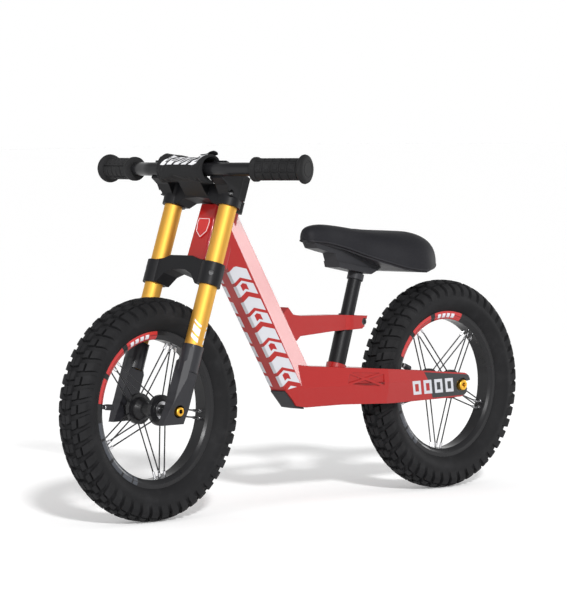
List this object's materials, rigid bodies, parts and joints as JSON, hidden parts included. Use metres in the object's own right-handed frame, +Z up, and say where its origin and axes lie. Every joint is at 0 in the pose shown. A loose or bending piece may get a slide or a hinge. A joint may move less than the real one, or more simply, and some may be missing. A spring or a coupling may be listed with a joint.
{
  "type": "balance bike",
  "caption": "Toddler balance bike with a cast red frame, gold dual-crown rigid fork, spoked wheels with knobbly tyres, padded saddle and padded handlebar.",
  "frame": {"origin": "on the ground, midway between the two axles on the bike's middle plane", "axes": "+X forwards to the front wheel, +Y to the rider's left, +Z up"},
  "size_m": [0.8964, 0.4126, 0.504],
  "materials": {
    "painted_red": "glossy bright red enamel on a cast magnesium frame",
    "badge_paint": "glossy red enamel badge with a pale rim line and no lettering",
    "black_metal": "satin black powder coat",
    "black_moulding": "fine-textured black glass-filled nylon",
    "gold_anodised": "satin gold anodised aluminium",
    "rim_black": "satin black rim with plain red sticker bands",
    "spoke_black": "black coated steel wire",
    "steel": "zinc plated steel",
    "dark_steel": "black oxide steel",
    "nipple_silver": "nickel plated brass nipples",
    "tyre_rubber": "matt black knobbly tyre rubber",
    "tube_rubber": "smooth butyl rubber",
    "grip_rubber": "soft matt black grip rubber",
    "saddle_leather": "matt black leatherette over foam",
    "saddle_plastic": "satin black polypropylene",
    "pad_fabric": "black woven nylon over foam"
  },
  "bodies": {
    "frame": {"frame": "painted_red", "head_badge": "badge_paint", "bash_guard": "black_moulding", "seat_tube": "black_metal", "seat_clamp_bolt": "dark_steel", "headset_bearings": "steel", "rear_axle": "steel", "rear_axle_spacers": "black_metal", "rear_axle_nuts": "gold_anodised"},
    "fork": {"headset_covers": "black_moulding", "steerer": "steel", "top_cap": "black_metal", "lower_crown": "black_moulding", "upper_crown": "black_moulding", "bar_cap": "black_moulding", "bar_cap_bolts": "dark_steel", "crown_screws": "dark_steel", "left_stanchion": "gold_anodised", "right_stanchion": "gold_anodised", "left_fork_leg": "black_moulding", "right_fork_leg": "black_moulding", "front_axle": "steel", "front_axle_spacers": "black_metal", "front_axle_nuts": "gold_anodised", "handlebar_pad": "pad_fabric"},
    "handlebar": {"handlebar": "black_metal", "left_grip": "grip_rubber", "right_grip": "grip_rubber"},
    "front_wheel": {"front_tyre": "tyre_rubber", "front_inner_tube": "tube_rubber", "front_rim": "rim_black", "front_hub": "black_metal", "front_bearings": "steel", "front_spokes": "spoke_black", "front_nipples": "nipple_silver", "front_valve_stem": "steel", "front_valve_cap": "saddle_plastic"},
    "rear_wheel": {"rear_tyre": "tyre_rubber", "rear_inner_tube": "tube_rubber", "rear_rim": "rim_black", "rear_hub": "black_metal", "rear_bearings": "steel", "rear_spokes": "spoke_black", "rear_nipples": "nipple_silver", "rear_valve_stem": "steel", "rear_valve_cap": "saddle_plastic"},
    "seat": {"seat_post": "black_metal", "saddle_cover": "saddle_leather", "saddle_base": "saddle_plastic", "saddle_bracket": "saddle_plastic", "post_collar": "saddle_plastic"}
  },
  "joints": [
    {"name": "steering", "type": "hinge", "parent": "frame", "child": "fork", "pos_m": [0.17001, 0, 0.38886], "axis": [-0.3448, 0, 0.9387], "range_deg": [-80, 80]},
    {"name": "bar_tilt", "type": "hinge", "parent": "fork", "child": "handlebar", "pos_m": [0.21395, 0, 0.48384], "axis": [0, 1, 0], "range_deg": [-20, 20]},
    {"name": "front_wheel_spin", "type": "hinge", "parent": "fork", "child": "front_wheel", "pos_m": [0.2932, 0, 0.155], "axis": [0, 1, 0], "continuous": true},
    {"name": "rear_wheel_spin", "type": "hinge", "parent": "frame", "child": "rear_wheel", "pos_m": [-0.2932, 0, 0.155], "axis": [0, 1, 0], "continuous": true},
    {"name": "seat_height", "type": "slide", "parent": "frame", "child": "seat", "axis": [-0.314, 0, 0.9494], "range_m": [-0.045, 0.04]}
  ]
}
